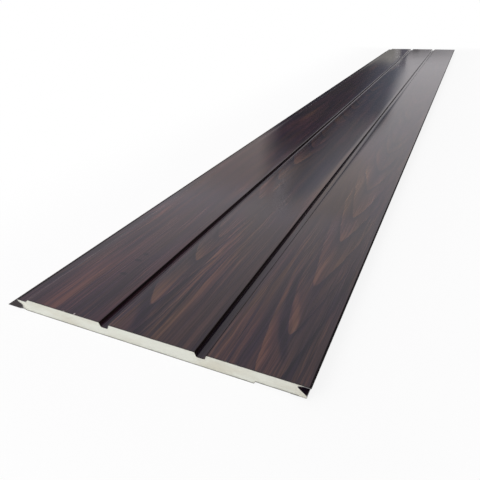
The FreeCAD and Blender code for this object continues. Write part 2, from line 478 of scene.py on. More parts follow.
class NodeBench:
    """Places shader nodes in one node tree and wires them together."""

    MIX_SHARE = 0
    MIX_FIRST = 6
    MIX_SECOND = 7
    MIX_COLOUR = 2

    def __init__(self, tree: Tree) -> None:
        """Keeps the tree that the nodes go into."""
        self.tree = tree

    @classmethod
    def cleared(cls, owner: Union[bpy.types.Material, bpy.types.World]) -> "NodeBench":
        """Starts a bench on a material or world, without the nodes that it comes with.

        Args:
            owner: the material or world.

        Returns:
            The bench on its empty tree.
        """
        owner.use_nodes = True
        owner.node_tree.nodes.clear()
        return cls(owner.node_tree)

    def node(self, kind: str, **settings: object) -> Node:
        """Adds one node.

        Args:
            kind: the node's class name without its ShaderNode prefix.
            settings: properties to set on the node.

        Returns:
            The new node.
        """
        made = self.tree.nodes.new(f"ShaderNode{kind}")
        for name, value in settings.items():
            setattr(made, name, value)
        return made

    def wire(self, feed: Feed, target: Socket) -> None:
        """Links a socket to an input, or sets the input's own value.

        Args:
            feed: the socket to link, or the value to set.
            target: the input.
        """
        if isinstance(feed, Socket):
            self.tree.links.new(feed, target)
        else:
            target.default_value = feed

    def math(self, operation: str, *feeds: Feed, kind: str = "Math") -> Socket:
        """Adds a Math node, or a Vector Math node.

        Args:
            operation: the node's operation.
            feeds: its inputs in order.
            kind: Math or VectorMath.

        Returns:
            Its result.
        """
        made = self.node(kind, operation=operation)
        for feed, target in zip(feeds, made.inputs):
            self.wire(feed, target)
        return made.outputs[0]

    def split(self, vector: Feed) -> tuple[Socket, Socket, Socket]:
        """Gives the three coordinates of a vector.

        Args:
            vector: the vector.

        Returns:
            Its coordinates.
        """
        made = self.node("SeparateXYZ")
        self.wire(vector, made.inputs[0])
        return made.outputs[0], made.outputs[1], made.outputs[2]

    def join(self, *feeds: Feed) -> Socket:
        """Gives the vector of three coordinates.

        Args:
            feeds: the coordinates.

        Returns:
            The vector.
        """
        made = self.node("CombineXYZ")
        for feed, target in zip(feeds, made.inputs):
            self.wire(feed, target)
        return made.outputs[0]

    def attribute(self, name: str, output: str = "Fac") -> Socket:
        """Reads one of the piece's own attributes."""
        return self.node("Attribute", attribute_name=name).outputs[output]

    def object_place(self) -> Socket:
        """Reads the place in the piece's own frame, in metres."""
        return self.node("TexCoord").outputs["Object"]

    def film_place(self) -> Socket:
        """Reads the place on the unrolled sheet, across and along, in millimetres."""
        stored = self.attribute("film_place", "Vector")
        return self.math("MULTIPLY", stored, (1 / MM, 1 / MM, 1.0), kind="VectorMath")

    def cells(self, place: Feed, size: float, feature: str = "F1") -> Socket:
        """Adds a Voronoi texture.

        Args:
            place: the vector it reads.
            size: how wide its cells are, about.
            feature: which distance it measures.

        Returns:
            That distance, in cells.
        """
        made = self.node("TexVoronoi", feature=feature)
        made.inputs["Scale"].default_value = 1.0
        counted = self.math("MULTIPLY", place, (1 / size,) * 3, kind="VectorMath")
        self.wire(counted, made.inputs["Vector"])
        return made.outputs["Distance"]

    def eased(self, value: Feed, low: Feed, high: Feed, start: float = 0.0, end: float = 1.0) -> Socket:
        """Maps a value smoothly from one range to another and stops at the ends.

        Args:
            value: the value to map.
            low: the value that gives the start.
            high: the value that gives the end.
            start: the first result.
            end: the last result.

        Returns:
            The mapped value.
        """
        made = self.node("MapRange", interpolation_type="SMOOTHSTEP")
        for feed, target in zip((value, low, high, start, end), made.inputs):
            self.wire(feed, target)
        return made.outputs[0]

    def blend(self, share: Feed, first: Feed, second: Feed, mode: str = "MIX") -> Socket:
        """Mixes two colours.

        Args:
            share: how much of the second colour.
            first: the first colour.
            second: the second colour.
            mode: the node's blend type.

        Returns:
            The mixed colour.
        """
        made = self.node("Mix", data_type="RGBA", blend_type=mode)
        self.wire(share, made.inputs[self.MIX_SHARE])
        self.wire(first, made.inputs[self.MIX_FIRST])
        self.wire(second, made.inputs[self.MIX_SECOND])
        return made.outputs[self.MIX_COLOUR]

    def lit(self, colour: Feed, light: Socket) -> Socket:
        """Gives a colour times a light."""
        return self.blend(1.0, colour, self.join(light, light, light), "MULTIPLY")

    def ramp(self, value: Feed, stops: Sequence[tuple[float, Colour]]) -> Socket:
        """Adds a colour ramp.

        Args:
            value: the value to colour.
            stops: places from 0 to 1 with their colours, in order.

        Returns:
            The colour.
        """
        made = self.node("ValToRGB")
        elements = made.color_ramp.elements
        elements[0].position, elements[0].color = stops[0]
        elements[1].position, elements[1].color = stops[-1]
        for place, colour in stops[1:-1]:
            elements.new(place).color = colour
        self.wire(value, made.inputs[0])
        return made.outputs[0]

    def bump(self, height: Feed, distance: float, strength: float) -> Socket:
        """Adds a bump.

        Args:
            height: the relief, from 0 to 1.
            distance: the relief's depth in metres.
            strength: how much of it shows.

        Returns:
            The bumped normal.
        """
        made = self.node("Bump")
        made.inputs["Strength"].default_value = strength
        made.inputs["Distance"].default_value = distance
        self.wire(height, made.inputs["Height"])
        return made.outputs["Normal"]

    def group(self, tree: Tree, **feeds: Feed) -> Node:
        """Places a node group.

        Args:
            tree: the group's tree.
            feeds: its inputs by name, in small letters with an underscore for each space.

        Returns:
            The group's node.
        """
        made = self.node("Group", node_tree=tree)
        for name, feed in feeds.items():
            self.wire(feed, made.inputs[name.replace("_", " ").title()])
        return made

    def surface(self, share: Feed, first: Node, second: Node, output: str) -> None:
        """Mixes two shaders and sends them to the tree's output.

        Args:
            share: how much of the second shader.
            first: the first shader.
            second: the second shader.
            output: the output node's kind.
        """
        mixed = self.node("MixShader")
        self.wire(share, mixed.inputs[0])
        self.wire(first.outputs[0], mixed.inputs[1])
        self.wire(second.outputs[0], mixed.inputs[2])
        self.wire(mixed.outputs[0], self.node(output).inputs["Surface"])


def new_group(name: str, vectors: Sequence[str], values: Sequence[str], outputs: Sequence[str]) -> GroupStart:
    """Starts a shader node group.

    Args:
        name: the group's name.
        vectors: the names of its vector inputs.
        values: the names of its value inputs.
        outputs: the names of its outputs, which are values.

    Returns:
        A bench on the group's tree, the node that gives its inputs and the node that takes its outputs.
    """
    tree = bpy.data.node_groups.new(name, "ShaderNodeTree")
    sockets = [(label, "INPUT", "NodeSocketVector") for label in vectors]
    sockets += [(label, "INPUT", "NodeSocketFloat") for label in values]
    sockets += [(label, "OUTPUT", "NodeSocketFloat") for label in outputs]
    for label, side, kind in sockets:
        tree.interface.new_socket(name=label, in_out=side, socket_type=kind)
    return NodeBench(tree), tree.nodes.new("NodeGroupInput"), tree.nodes.new("NodeGroupOutput")


def new_material(name: str) -> tuple[bpy.types.Material, NodeBench, Node]:
    """Starts a material.

    Args:
        name: the material's name.

    Returns:
        The material, a bench on its tree and its Principled shader.
    """
    material = bpy.data.materials.new(name)
    material.use_nodes = True
    bench = NodeBench(material.node_tree)
    return material, bench, material.node_tree.nodes["Principled BSDF"]


def stretched_noise_group() -> Tree:
    """Builds the shared group for streaks, fibres, mottling and stains.

    The place is divided by the spacing, one number for each way, so that a long spacing draws the noise out
    into streaks, and is then shifted. The mask is the noise eased from 0 at its low end to 1 at its high end.

    Returns:
        The group's tree.
    """
    bench, given, made = new_group(
        "stretched_noise", ("Place", "Spacing", "Shift"), ("Detail", "Low", "High"), ("Value", "Mask")
    )
    divided = bench.math("DIVIDE", given.outputs["Place"], given.outputs["Spacing"], kind="VectorMath")
    shifted = bench.math("ADD", divided, given.outputs["Shift"], kind="VectorMath")
    texture = bench.node("TexNoise", noise_dimensions="3D")
    texture.inputs["Scale"].default_value = 1.0
    bench.wire(shifted, texture.inputs["Vector"])
    bench.wire(given.outputs["Detail"], texture.inputs["Detail"])
    value = texture.outputs["Fac"]
    bench.wire(value, made.inputs["Value"])
    bench.wire(bench.eased(value, given.outputs["Low"], given.outputs["High"]), made.inputs["Mask"])
    return bench.tree


@dataclass(frozen=True)
class Streaks:
    """One use of the stretched noise: spacing and shift each way, finer octaves, and the mask's two ends."""

    spacing: Triple
    shift: Triple = (0.0, 0.0, 0.0)
    detail: float = 0.0
    low: float = 0.0
    high: float = 0.0

    def placed(self, bench: NodeBench, tree: Tree, place: Socket) -> Node:
        """Places the stretched noise group with these values.

        Args:
            bench: the bench to place it on.
            tree: the group's tree.
            place: the place it reads.

        Returns:
            The group's node.
        """
        settings = {"spacing": self.spacing, "shift": self.shift, "detail": self.detail}
        return bench.group(tree, place=place, low=self.low, high=self.high, **settings)

    def value(self, bench: NodeBench, tree: Tree, place: Socket) -> Socket:
        """Gives the noise itself, from 0 to 1 with a mean of a half."""
        return self.placed(bench, tree, place).outputs["Value"]

    def mask(self, bench: NodeBench, tree: Tree, place: Socket) -> Socket:
        """Gives the noise eased between the mask's ends."""
        return self.placed(bench, tree, place).outputs["Mask"]


@dataclass(frozen=True)
class FlameGrain:
    """The group that draws flat-sawn grain: nested flames over each heart line and straight grain beside it.

    With d the distance across to the nearest heart line, longer on the right of the first one and shorter on
    its left by the lean, and y the distance along from that heart's first tip, the ring number is
    y / tip spacing - (root of (d * d + t * t) - t) / (spread * tip spacing) - (d / side width) to the side
    power, plus slow noise, where t rounds the tip. Its fraction runs from a flame's rim to the next one, and
    its whole part gives each ring a tone of its own. The pairs are a noise's gain and what is added to it.
    """

    wander: Streaks = Streaks((70.0, 300.0, 1.0), (3.1, 7.7, 0.0), 1.0)
    wander_reach: Pair = (14.0, -7.0)
    waver: Streaks = Streaks((9.0, 60.0, 1.0), (9.3, 1.2, 0.0), 2.0)
    waver_reach: Pair = (5.0, -2.5)
    drift: Streaks = Streaks((150.0, 420.0, 1.0), (0.4, 2.6, 5.0), 1.0)
    drift_reach: Pair = (0.8, -0.4)
    uneven: Streaks = Streaks((1.3, 1.0, 1.0))
    uneven_reach: Pair = (1.0, -0.5)
    side_power: float = 4.0

    def tree(self, streaks: Tree) -> Tree:
        """Builds the group.

        Args:
            streaks: the stretched noise group.

        Returns:
            The group's tree.
        """
        hearts = ("Heart", "Heart Spacing", "Tip Spacing", "First Tip", "Tip Step")
        shapes = ("Spread", "Tip Round", "Side Width", "Lean", "Reach")
        results = ("Phase", "Tone", "Across", "Distance")
        bench, given, made = new_group("flame_grain", ("Place",), hearts + shapes, results)
        heart, heart_spacing, tip_spacing, first_tip, tip_step = (given.outputs[label] for label in hearts)
        spread, tip_round, side_width, lean, reach = (given.outputs[label] for label in shapes)
        calc = bench.math
        place = given.outputs["Place"]
        across, along, _ = bench.split(place)
        wander = calc("MULTIPLY_ADD", self.wander.value(bench, streaks, place), *self.wander_reach)
        waver = calc("MULTIPLY_ADD", self.waver.value(bench, streaks, place), *self.waver_reach)
        drift = calc("MULTIPLY_ADD", self.drift.value(bench, streaks, place), *self.drift_reach)
        bent = calc("ADD", across, calc("ADD", wander, waver))
        from_heart = calc("SUBTRACT", bent, heart)
        half = calc("MULTIPLY", heart_spacing, 0.5)
        signed = calc("WRAP", from_heart, half, calc("MULTIPLY", half, -1.0))
        number = calc("ROUND", calc("DIVIDE", from_heart, heart_spacing))
        first_only = calc("MAXIMUM", calc("SUBTRACT", 1.0, calc("ABSOLUTE", number)), 0.0)
        leaning = calc("MULTIPLY_ADD", calc("SIGN", signed), calc("MULTIPLY", lean, first_only), 1.0)
        distance = calc("ABSOLUTE", signed)
        held = calc("MINIMUM", calc("MULTIPLY", distance, leaning), reach)
        sloped = calc("SQRT", calc("MULTIPLY_ADD", held, held, calc("MULTIPLY", tip_round, tip_round)))
        arched = calc("DIVIDE", calc("SUBTRACT", sloped, tip_round), calc("MULTIPLY", spread, tip_spacing))
        straight = calc("POWER", calc("DIVIDE", held, side_width), self.side_power)
        first = calc("MULTIPLY_ADD", number, tip_step, first_tip)
        rings_along = calc("DIVIDE", calc("SUBTRACT", along, first), tip_spacing)
        ring = calc("ADD", calc("SUBTRACT", rings_along, calc("ADD", arched, straight)), drift)
        uneven = self.uneven.value(bench, streaks, bench.join(ring, number, 0.0))
        ring = calc("ADD", ring, calc("MULTIPLY_ADD", uneven, *self.uneven_reach))
        tone = bench.node("TexWhiteNoise", noise_dimensions="2D")
        bench.wire(bench.join(calc("FLOOR", ring), number, 0.0), tone.inputs["Vector"])
        for label, result in zip(results, (calc("FRACT", ring), tone.outputs["Value"], bent, distance)):
            bench.wire(result, made.inputs[label])
        return bench.tree


# Finishes


@dataclass(frozen=True)
class GrainSpot:
    """One printed streak or fleck, or a band of painted shade: its middle, its half sizes, the tone it adds
    and its lean across.

    Places and sizes are millimetres, and the slope is the way across for each millimetre along.
    """

    across: float
    along: float
    half_width: float
    half_length: float
    tone: float
    slope: float = 0.0

    def added(self, bench: NodeBench, across: Socket, along: Socket, total: Feed) -> Socket:
        """Adds this spot to a total, as a soft ellipse: its tone times exp(-(dx * dx + dy * dy) squared).

        Args:
            bench: the material's bench.
            across: the developed place across.
            along: the place along.
            total: what other spots add up to.

        Returns:
            The new total.
        """
        from_end = bench.math("SUBTRACT", along, self.along)
        from_side = bench.math("SUBTRACT", across, self.across)
        if self.slope:
            from_side = bench.math("MULTIPLY_ADD", from_end, -self.slope, from_side)
        to_side = bench.math("DIVIDE", from_side, self.half_width)
        to_end = bench.math("DIVIDE", from_end, self.half_length)
        squared = bench.math("MULTIPLY_ADD", to_side, to_side, bench.math("MULTIPLY", to_end, to_end))
        fourth = bench.math("MULTIPLY", squared, squared)
        falling = bench.math("EXPONENT", bench.math("MULTIPLY", fourth, -1.0))
        return bench.math("MULTIPLY_ADD", falling, self.tone, total)


def all_spots(bench: NodeBench, spots: Sequence[GrainSpot], across: Socket, along: Socket) -> Socket:
    """Adds up spots.

    Args:
        bench: the material's bench.
        spots: the spots.
        across: the developed place across.
        along: the place along.

    Returns:
        What the spots add up to.
    """
    total: Feed = 0.0
    for spot in spots:
        total = spot.added(bench, across, along, total)
    return total


@dataclass(frozen=True)
class GrainLayer:
    """One width of streaks in the print, its weight in the tone and whether it comes and goes in patches."""

    streaks: Streaks
    weight: float
    patchy: bool = True


@dataclass(frozen=True)
class FlameShape:
    """Where the heart lines lie and how their flames are shaped: millimetres, and plain spread and lean."""

    heart: float = 158.0
    heart_spacing: float = 184.0
    tip_spacing: float = 113.0
    first_tip: float = 54.0
    tip_step: float = 19.0
    spread: float = 0.2
    tip_round: float = 3.5
    side_width: float = 42.0
    lean: float = 0.42
    reach: float = 56.0


@dataclass(frozen=True)
class WoodGrainFilm:
    """The printed film on the painted side: satin gloss over dark brown flames, streaks and fibres, with
    painted shade in long bands on the groove walls and floors, the tongue and the flange.

    The grain is first one tone, from 0, slate, to 1, orange brown, and a ramp then gives the tone its colour.
    Lengths are millimetres. A pair is a gain and what is added to it. Four numbers that are no colour are an
    eased range: where it starts and ends, and its first and last result.
    """

    deep: Colour = shade(23, 17, 32)
    slate: Colour = shade(35, 24, 40)
    plain: Colour = shade(50, 35, 44)
    brown: Colour = shade(66, 44, 48)
    orange: Colour = shade(92, 62, 54)
    tone_stops: tuple[float, ...] = (0.0, 0.28, 0.5, 0.7, 1.0)
    rosy: Colour = (1.08, 0.97, 1.18, 1.0)
    mossy: Colour = (0.90, 1.05, 0.96, 1.0)
    bared: Colour = shade(196, 186, 184)
    ink: Colour = shade(27, 17, 17)
    flames: FlameShape = FlameShape()
    flame_stops: tuple[Pair, ...] = (
        (0.0, 0.9),
        (0.14, 0.86),
        (0.4, 0.62),
        (0.68, 0.48),
        (0.85, 0.14),
        (0.965, 0.0),
        (1.0, 0.9),
    )
    flame_beside: Quad = (16.0, 46.0, 1.0, 0.0)
    ring_strength: Pair = (0.5, 0.45)
    clearing: Streaks = Streaks((80.0, 380.0, 1.0), (1.9, 0.3, 2.0), 1.0, 0.3, 0.6)
    clear_strength: Pair = (0.5, 0.5)
    patches: Streaks = Streaks((38.0, 170.0, 1.0), (7.3, 2.2, 6.0), 1.0, 0.42, 0.62)
    patch_strength: Pair = (0.85, 0.35)
    layers: tuple[GrainLayer, ...] = (
        GrainLayer(Streaks((15.0, 480.0, 1.0), (2.7, 4.4, 7.0), 2.0), 1.3, patchy=False),
        GrainLayer(Streaks((4.2, 260.0, 1.0), (8.1, 0.7, 3.0), 2.0), 1.0),
        GrainLayer(Streaks((1.1, 90.0, 1.0), (6.0, 5.2, 4.0), 2.0), 1.1),
    )
    print_repeat: float = 1040.0
    print_start: float = -200.0
    calming: Quad = (400.0, 1100.0, 1.0, 0.6)
    hues: Streaks = Streaks((55.0, 210.0, 1.0), (5.2, 8.1, 1.0), 2.0, 0.32, 0.68)
    hue_turn: Quad = (110.0, 150.0, -0.3, 0.28)
    strands: Streaks = Streaks((2.4, 130.0, 1.0), (4.0, 1.0, 8.0), 3.0)
    strand_light: Pair = (1.8, 0.1)
    cut_shade: Quad = (0.3, 1.8, 0.35, 1.0)
    smudges: Streaks = Streaks((60.0, 160.0, 1.0), (0.0, 3.0, 9.0), 3.0)
    smudge_roughness: Pair = (0.04, 0.045)
    fibres: Streaks = Streaks((0.7, 30.0, 1.0), (6.0, 0.0, 4.0), 2.0)
    fibre_roughness: float = 0.02
    fibre_depth: float = 0.02
    fibre_bump: float = 0.12
    refraction: float = 1.42
    chips: tuple[GrainSpot, ...] = (
        GrainSpot(76.5, 0.9, 0.9, 1.9, 1.0),
        GrainSpot(60.5, 0.0, 1.2, 0.9, 0.9),
    )
    # Painted shade: long bands that darken the left walls of both grooves and the flange strip all along the
    # panel.
    seams: tuple[GrainSpot, ...] = (
        GrainSpot(116.6, 0.0, 2.2, END_TO_END, 1.0),
        GrainSpot(252.9, 0.0, 2.2, END_TO_END, 1.0),
        GrainSpot(-56.0, 0.0, 17.0, END_TO_END, 0.85),
    )
    spots: tuple[GrainSpot, ...] = (
        GrainSpot(201.0, 100.0, 4.5, 190.0, 0.27),
        GrainSpot(37.0, 40.0, 11.0, 120.0, 0.38),
        GrainSpot(4.0, 20.0, 14.0, 80.0, -0.16),
        # Painted shade: a band along the whole tongue top.
        GrainSpot(-13.0, 0.0, 10.0, END_TO_END, -0.24),
        GrainSpot(39.0, 50.0, 4.0, 120.0, 0.22),
        GrainSpot(46.0, 80.0, 4.0, 140.0, 0.08),
        GrainSpot(171.0, 70.0, 10.0, 100.0, -0.18),
        GrainSpot(174.0, 160.0, 1.6, 70.0, -0.3),
        GrainSpot(190.0, 110.0, 2.0, 90.0, -0.28),
        GrainSpot(211.5, 190.0, 1.6, 110.0, -0.28, -0.01),
        GrainSpot(221.0, 90.0, 8.0, 130.0, -0.08),
        GrainSpot(164.5, 25.0, 9.0, 40.0, -0.28, -0.4),
        GrainSpot(138.5, 20.0, 9.0, 45.0, 0.22),
        GrainSpot(338.0, 58.0, 5.5, 34.0, -0.38, -0.38),
        GrainSpot(337.5, 104.0, 4.5, 40.0, 0.26, -0.28),
        GrainSpot(321.5, 128.0, 4.5, 60.0, -0.34, -0.17),
        GrainSpot(317.0, 85.0, 4.5, 95.0, 0.26, -0.1),
        GrainSpot(307.5, 100.0, 5.5, 140.0, -0.28, -0.065),
        GrainSpot(292.5, 75.0, 2.2, 90.0, -0.3, -0.06),
        GrainSpot(283.0, 50.0, 8.0, 110.0, 0.16),
        GrainSpot(368.5, 90.0, 4.2, 105.0, -0.26, 0.09),
        GrainSpot(355.5, 130.0, 3.0, 80.0, -0.24, 0.14),
        GrainSpot(377.0, 40.0, 8.0, 120.0, 0.28),
        GrainSpot(151.0, 100.0, 9.0, 150.0, 0.22),
        GrainSpot(240.0, 110.0, 7.0, 140.0, 0.12),
        # Painted shade: bands along the whole length of both groove floors.
        GrainSpot(126.0, 0.0, 5.0, END_TO_END, -0.16),
        GrainSpot(262.5, 0.0, 5.0, END_TO_END, -0.16),
        GrainSpot(73.0, 155.0, 4.2, 2.8, -0.9),
        GrainSpot(72.5, 136.5, 5.0, 2.8, -0.8),
        GrainSpot(75.5, 99.0, 5.0, 2.8, -0.9),
    )

    def flame_tone(self, bench: NodeBench, streaks: Tree, rings: Node, place: Socket) -> Socket:
        """Gives what the flames add to the tone.

        A flame is bright at its rim, falls to dark before the next one and fades away from the heart line.

        Args:
            bench: the material's bench.
            streaks: the stretched noise group.
            rings: the flame grain node.
            place: the developed place.

        Returns:
            What the flames add to the tone.
        """
        flame = bench.ramp(rings.outputs["Phase"], [(stop, grey(tone)) for stop, tone in self.flame_stops])
        near = bench.eased(rings.outputs["Distance"], *self.flame_beside)
        clear = self.clearing.mask(bench, streaks, place)
        strength = bench.math("MULTIPLY_ADD", rings.outputs["Tone"], *self.ring_strength)
        strength = bench.math("MULTIPLY", strength, bench.math("MULTIPLY_ADD", clear, *self.clear_strength))
        strength = bench.math("MULTIPLY", strength, near)
        return bench.math("MULTIPLY", bench.math("SUBTRACT", flame, MID_TONE), strength)

    def grain_tone(self, bench: NodeBench, streaks: Tree, rings: Node, place: Socket) -> Socket:
        """Gives the print's tone: a middle tone with the flames, the layers of streaks and the spots added.

        Args:
            bench: the material's bench.
            streaks: the stretched noise group.
            rings: the flame grain node.
            place: the developed place.

        Returns:
            The tone, calmer towards the far end.
        """
        across, along, _ = bench.split(place)
        bent = bench.join(rings.outputs["Across"], along, 0.0)
        tone = bench.math("ADD", MID_TONE, self.flame_tone(bench, streaks, rings, place))
        patches = self.patches.mask(bench, streaks, place)
        patchy = bench.math("MULTIPLY_ADD", patches, *self.patch_strength)
        for layer in self.layers:
            drawn = bench.math("SUBTRACT", layer.streaks.value(bench, streaks, bent), MID_TONE)
            weighed = bench.math("MULTIPLY", drawn, layer.weight)
            tone = bench.math("MULTIPLY_ADD", weighed, patchy if layer.patchy else 1.0, tone)
        repeated = bench.math("WRAP", along, self.print_start + self.print_repeat, self.print_start)
        # The spots add printed streaks and flecks, and painted shade along the tongue and the groove floors.
        tone = bench.math("ADD", tone, all_spots(bench, self.spots, across, repeated))
        calm = bench.eased(along, *self.calming)
        return bench.math("MULTIPLY_ADD", bench.math("SUBTRACT", tone, MID_TONE), calm, MID_TONE)

    def material(self, streaks: Tree, grain: Tree) -> bpy.types.Material:
        """Builds the film's material, whose print lies on the unrolled sheet.

        Args:
            streaks: the stretched noise group.
            grain: the flame grain group.

        Returns:
            The material.
        """
        material, bench, shader = new_material("wood_grain_film")
        place = bench.film_place()
        across, along, _ = bench.split(place)
        rings = bench.group(grain, place=place, **asdict(self.flames))
        inks = (self.deep, self.slate, self.plain, self.brown, self.orange)
        tone = self.grain_tone(bench, streaks, rings, place)
        colour = bench.ramp(tone, list(zip(self.tone_stops, inks)))
        turned = bench.eased(across, *self.hue_turn)
        hue_share = bench.math("ADD", self.hues.mask(bench, streaks, place), turned)
        colour = bench.blend(1.0, colour, bench.blend(hue_share, self.rosy, self.mossy), "MULTIPLY")
        bent = bench.join(rings.outputs["Across"], along, 0.0)
        light = bench.math("MULTIPLY_ADD", self.strands.value(bench, streaks, bent), *self.strand_light)
        light = bench.math("MULTIPLY", light, bench.eased(along, *self.cut_shade))
        colour = bench.lit(colour, light)
        # painted shade on the grooves' left walls and the flange
        colour = bench.blend(all_spots(bench, self.seams, across, along), colour, self.ink)
        colour = bench.blend(all_spots(bench, self.chips, across, along), colour, self.bared)
        bench.wire(colour, shader.inputs["Base Color"])
        fibres = self.fibres.value(bench, streaks, place)
        smudges = self.smudges.value(bench, streaks, place)
        roughness = bench.math("MULTIPLY_ADD", smudges, *self.smudge_roughness)
        roughness = bench.math("MULTIPLY_ADD", fibres, self.fibre_roughness, roughness)
        bench.wire(roughness, shader.inputs["Roughness"])
        bench.wire(bench.bump(fibres, self.fibre_depth * MM, self.fibre_bump), shader.inputs["Normal"])
        shader.inputs["IOR"].default_value = self.refraction
        return material


@dataclass(frozen=True)
class RimShadeFilm:
    """The film on the outermost bends of the tongue and the cover lip and on the last plank's shoulder: dull,
    and painted near black as shade.
    """

    rubbed: Colour = shade(18, 15, 17)
    dusty: Colour = shade(32, 28, 30)
    dust: Streaks = Streaks((0.01, 0.12, 0.01), detail=3.0, low=0.45, high=0.75)
    roughness: Pair = (0.2, 0.55)
    gloss: float = 0.06

    def material(self, streaks: Tree) -> bpy.types.Material:
        """Builds the rim film's material: painted shade, near black, with paler streaks along the rim.

        Args:
            streaks: the stretched noise group.

        Returns:
            The material.
        """
        material, bench, shader = new_material("rim_shade_film")
        dust = self.dust.placed(bench, streaks, bench.object_place())
        # painted shade: the rim's colour is near black, with paler streaks
        bench.wire(bench.blend(dust.outputs["Mask"], self.rubbed, self.dusty), shader.inputs["Base Color"])
        roughness = bench.math("MULTIPLY_ADD", dust.outputs["Value"], *self.roughness)
        bench.wire(roughness, shader.inputs["Roughness"])
        shader.inputs["Specular IOR Level"].default_value = self.gloss
        return material


@dataclass(frozen=True)
class BackCoat:
    """The thin grey primer on the sheet's back."""

    primer: Colour = shade(150, 150, 146)
    thin: Colour = shade(128, 129, 127)
    rolling: Streaks = Streaks((0.004, 0.6, 0.004), detail=3.0, low=0.35, high=0.7)
    roughness: Pair = (0.2, 0.42)

    def material(self, streaks: Tree) -> bpy.types.Material:
        """Builds the primer's material, with faint roller streaks along the panel.

        Args:
            streaks: the stretched noise group.

        Returns:
            The material.
        """
        material, bench, shader = new_material("back_coat")
        rolled = self.rolling.placed(bench, streaks, bench.object_place())
        bench.wire(bench.blend(rolled.outputs["Mask"], self.primer, self.thin), shader.inputs["Base Color"])
        roughness = bench.math("MULTIPLY_ADD", rolled.outputs["Value"], *self.roughness)
        bench.wire(roughness, shader.inputs["Roughness"])
        return material


@dataclass(frozen=True)
class CutSteel:
    """The zinc-coated steel that a saw cut lays bare, darkened to a dark brown along the planks.

    The planks' ends and the fade are millimetres on the unrolled sheet.
    """

    zinc: Colour = shade(176, 176, 178)
    stain: Colour = shade(120, 118, 116)
    dragged: Colour = shade(42, 35, 36)
    face_start: float = -2.0
    face_end: float = 388.0
    fade: float = 2.0
    sawing: Streaks = Streaks((0.0006, 0.02, 0.004), detail=2.0, low=0.4, high=0.7)
    specks: Streaks = Streaks((0.0016, 1.0, 1.0), detail=1.0, low=0.66, high=0.74)
    speck_cover: Pair = (-0.5, 1.0)
    roughness: Pair = (0.3, 0.35)

    def material(self, streaks: Tree) -> bpy.types.Material:
        """Builds the bare steel's material, with fine saw lines across the wall.

        Args:
            streaks: the stretched noise group.

        Returns:
            The material.
        """
        material, bench, shader = new_material("cut_steel")
        place = bench.object_place()
        sawn = self.sawing.placed(bench, streaks, place)
        steel = bench.blend(sawn.outputs["Mask"], self.zinc, self.stain)
        # Along the planks the cut edges are darkened to a dark brown, with lighter specks of steel.
        across, _, _ = bench.split(bench.film_place())
        begun = bench.eased(across, self.face_start - self.fade, self.face_start)
        going = bench.eased(across, self.face_end, self.face_end + self.fade, 1.0, 0.0)
        darkened = bench.math("MULTIPLY_ADD", self.specks.mask(bench, streaks, place), *self.speck_cover)
        darkened = bench.math("MULTIPLY", darkened, bench.math("MULTIPLY", begun, going))
        bench.wire(bench.blend(darkened, steel, self.dragged), shader.inputs["Base Color"])
        roughness = bench.math("MULTIPLY_ADD", sawn.outputs["Value"], *self.roughness)
        bench.wire(roughness, shader.inputs["Roughness"])
        bench.wire(bench.math("SUBTRACT", 1.0, darkened), shader.inputs["Metallic"])
        return material


@dataclass(frozen=True)
class RigidFoam:
    """The pale rigid foam, sawn across its cells, with a denser skin against the sheet and the foil."""

    cream: Colour = shade(229, 231, 219)
    warm: Colour = shade(216, 214, 198)
    skin: Colour = shade(222, 218, 202)
    skin_share: float = 0.6
    mottling: Streaks = Streaks((0.06, 0.06, 0.02), detail=3.0, low=0.4, high=0.75)
    cell_size: float = 0.55 * MM
    cell_depth: float = 0.25 * MM
    cell_bump: float = 0.4
    cell_light: Pair = (0.1, 0.95)
    roughness: float = 0.92
    gloss: float = 0.2

    def material(self, streaks: Tree) -> bpy.types.Material:
        """Builds the foam's material from its cells, its mottling and the piece's skin attribute.

        Args:
            streaks: the stretched noise group.

        Returns:
            The material.
        """
        material, bench, shader = new_material("rigid_foam")
        place = bench.object_place()
        colour = bench.blend(self.mottling.mask(bench, streaks, place), self.cream, self.warm)
        skin = bench.math("MULTIPLY", bench.attribute("skin"), self.skin_share)
        colour = bench.blend(skin, colour, self.skin)
        cell = bench.cells(place, self.cell_size)
        colour = bench.lit(colour, bench.math("MULTIPLY_ADD", cell, *self.cell_light))
        bench.wire(colour, shader.inputs["Base Color"])
        bench.wire(bench.bump(cell, self.cell_depth, self.cell_bump), shader.inputs["Normal"])
        shader.inputs["Roughness"].default_value = self.roughness
        shader.inputs["Specular IOR Level"].default_value = self.gloss
        return material


@dataclass(frozen=True)
class EmbossedFoil:
    """The dull aluminium foil on the back, rolled with a fine pebble."""

    bright: Colour = shade(200, 200, 198)
    dull: Colour = shade(172, 173, 170)
    torn: Colour = shade(112, 112, 104)
    dulling: Streaks = Streaks((0.05, 0.22, 0.05), detail=4.0, low=0.35, high=0.7)
    roughness: Pair = (0.25, 0.25)
    pebble: float = 3.2 * MM
    pebble_depth: float = 0.2 * MM
    pebble_bump: float = 0.6

    def material(self, streaks: Tree) -> bpy.types.Material:
        """Builds the foil's material, a darker non-metal grey where the piece's burr attribute says so: its
        cut edge with painted shade.

        Args:
            streaks: the stretched noise group.

        Returns:
            The material.
        """
        material, bench, shader = new_material("embossed_foil")
        place = bench.object_place()
        dulled = self.dulling.placed(bench, streaks, place)
        burr = bench.attribute("burr")
        colour = bench.blend(dulled.outputs["Mask"], self.bright, self.dull)
        # painted shade: the burr rows are darkened to a non-metal grey
        bench.wire(bench.blend(burr, colour, self.torn), shader.inputs["Base Color"])
        roughness = bench.math("MULTIPLY_ADD", dulled.outputs["Value"], *self.roughness)
        bench.wire(roughness, shader.inputs["Roughness"])
        bench.wire(bench.math("SUBTRACT", 1.0, burr), shader.inputs["Metallic"])
        pebbled = bench.cells(place, self.pebble, "SMOOTH_F1")
        bench.wire(bench.bump(pebbled, self.pebble_depth, self.pebble_bump), shader.inputs["Normal"])
        return material


